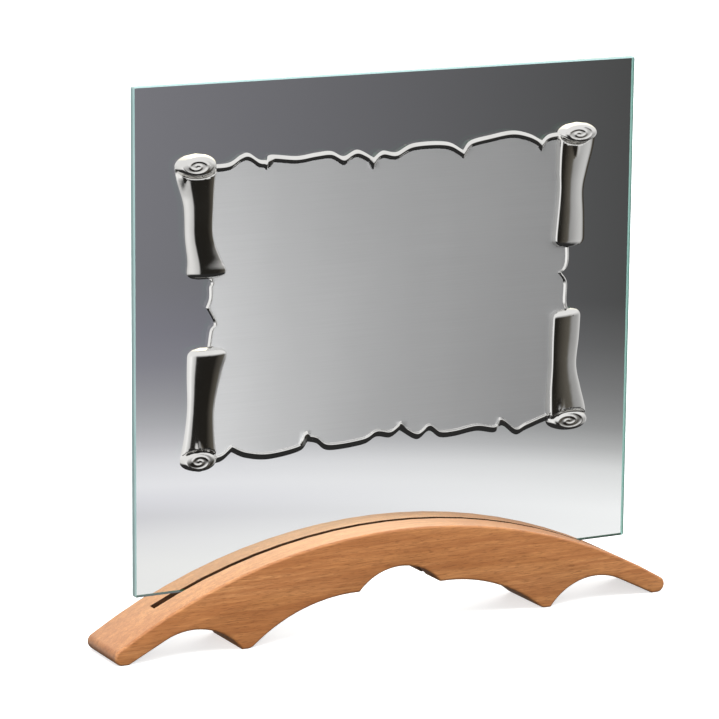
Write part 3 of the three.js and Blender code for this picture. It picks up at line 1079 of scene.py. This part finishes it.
def rim_points(torn):
    """Rows of vertices along the four rims, at the bends of their cross-sections."""
    points = []
    for edge, inwards, tears, profile in (
        ("top", -1, TEARS_TOP, RIM_TOP), ("bottom", 1, TEARS_BOTTOM, RIM_BOTTOM),
    ):
        for share in rim_rows(profile):
            for p in torn.edges[edge][1:-1]:
                reach = RIM_WIDTH + tear_reach(tears, np.array([p.x]))[0]
                points.append(Vector((p.x, p.y + inwards * share * reach)))
    for edge, inwards in (("left", 1), ("right", -1)):
        for share in rim_rows(RIM_TOP):
            inset = inwards * share * SIDE_RIM_WIDTH
            points.extend(Vector((p.x + inset, p.y)) for p in torn.edges[edge])
    return points


def field_points(torn, rolls):
    """An even grid over the field, kept clear of the rim and the rolls."""
    columns, rows = (np.arange(-half, half + 1, FIELD_STEP) for half in FIELD_HALF)
    x, z = (places.ravel() for places in np.meshgrid(columns, rows))
    clear = np.min(torn.shares(x, z), axis=0) > FIELD_ROWS[-1] + FIELD_CLEARANCE
    clear &= ~on_rolls(rolls, x, z)
    return [Vector(place) for place in zip(x[clear], z[clear])]


def plate_points(torn, rolls):
    """Places for the plate's vertices, and the edges that its triangles must follow."""
    points, edges = [], []

    def add_loop(loop):
        start = len(points)
        points.extend(loop)
        edges.extend((start + i, start + (i + 1) % len(loop)) for i in range(len(loop)))

    add_loop(torn.outline())
    for roll in rolls:
        add_loop(roll.outline())
        points.extend(roll.points())
    return points + rim_points(torn) + field_points(torn, rolls), edges


def plate_triangles(torn, rolls):
    """The plate seen from the front: its vertices, its triangles and which are field."""
    points, edges = plate_points(torn, rolls)
    verts, _, faces, *_ = delaunay_2d_cdt(points, edges, [], 0, 1e-3)
    flat = np.array([tuple(v) for v in verts])
    tris = np.array([f for f in faces if len(f) == 3])
    x, z = flat[tris].mean(axis=1).T
    on_sheet = inside([tuple(p) for p in torn.outline()], x, z)
    on_roll = on_rolls(rolls, x, z)
    kept = on_sheet | on_roll
    on_field = on_sheet & ~on_roll & (np.min(torn.shares(x, z), axis=0) > 1)
    return flat, tris[kept], on_field[kept]


def make_plate():
    """The scroll plate: one thin sheet, raised at its rim and its rolls."""
    torn = Torn()
    rolls = [Roll(shape) for shape in ROLLS.values()]
    flat, triangles, on_field = plate_triangles(torn, rolls)
    x, z = flat.T
    height = torn.height(x, z)
    for roll in rolls:
        height = smooth_max(height, roll.height(x, z), BLEND)
    height = np.maximum(height, ROLL_FOOT) * MM

    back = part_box("scroll_plate")[1].y
    places = [(px * MM, back - h, (PLATE_CENTRE_Z + pz) * MM) for px, pz, h in zip(x, z, height)]
    mesh = bpy.data.meshes.new("scroll_sheet")
    mesh.from_pydata(places, [], [tuple(int(i) for i in t) for t in triangles])
    mesh.materials.append(bright_metal_material())
    mesh.materials.append(satin_metal_material())
    mesh.polygons.foreach_set("material_index", on_field.astype(np.int32))
    plate = add_object("scroll_sheet", mesh)
    close_sheet(plate)
    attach(plate, "panel")
    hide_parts("scroll_plate")
    return plate


def linked(name, obj, state):
    """A collection that names one object alone (INCLUDE), or all but that one (EXCLUDE)."""
    chosen = bpy.data.collections.new(name)
    chosen.objects.link(obj)
    chosen.collection_objects[0].light_linking.link_state = state
    return chosen


def light_plate(plate, stage_lamps):
    """Lights the plate by a low lamp of its own at its left, in place of the stage's lamps."""
    lamp = area_lamp("plate_box", *PLATE_BOX)
    lamp.light_linking.receiver_collection = linked("plate_alone", plate, "INCLUDE")
    lamp.light_linking.blocker_collection = linked("no_plate_shadow", plate, "EXCLUDE")
    for other in stage_lamps:
        receivers = linked(other.name + "_receivers", plate, "EXCLUDE")
        other.light_linking.receiver_collection = receivers


def close_sheet(obj):
    """Drops loose points, turns the faces to the front and gives the sheet its thickness."""
    bm = bmesh.new()
    bm.from_mesh(obj.data)
    bmesh.ops.delete(bm, geom=[v for v in bm.verts if not v.link_faces], context="VERTS")
    for face in bm.faces:
        face.normal_update()
        if face.normal.y > 0:
            face.normal_flip()
    bm.to_mesh(obj.data)
    bm.free()
    solidify = obj.modifiers.new("sheet", "SOLIDIFY")
    solidify.thickness = SHEET * MM
    solidify.offset = -1
    apply_modifiers(obj)
    obj.data.shade_smooth()
    obj.data.set_sharp_from_angle(angle=SHEET_SHARP_ANGLE)
    bm = bmesh.new()
    bm.from_mesh(obj.data)
    for edge in bm.edges:
        if len({face.material_index for face in edge.link_faces}) > 1:
            edge.smooth = False
    bm.to_mesh(obj.data)
    bm.free()


# --------------------------------------------------------------------------------- main


bpy.context.scene.view_settings.view_transform = "Standard"
stage_lamps = make_stage()
make_base()
make_pane()
light_plate(make_plate(), stage_lamps)
tape = tape_material()
for strip in ("tape_top", "tape_bottom", "tape_left", "tape_right"):
    dress_node(strip, tape)
rubber = rubber_material()
for block in ("setting_block_left", "setting_block_right"):
    dress_node(block, rubber)
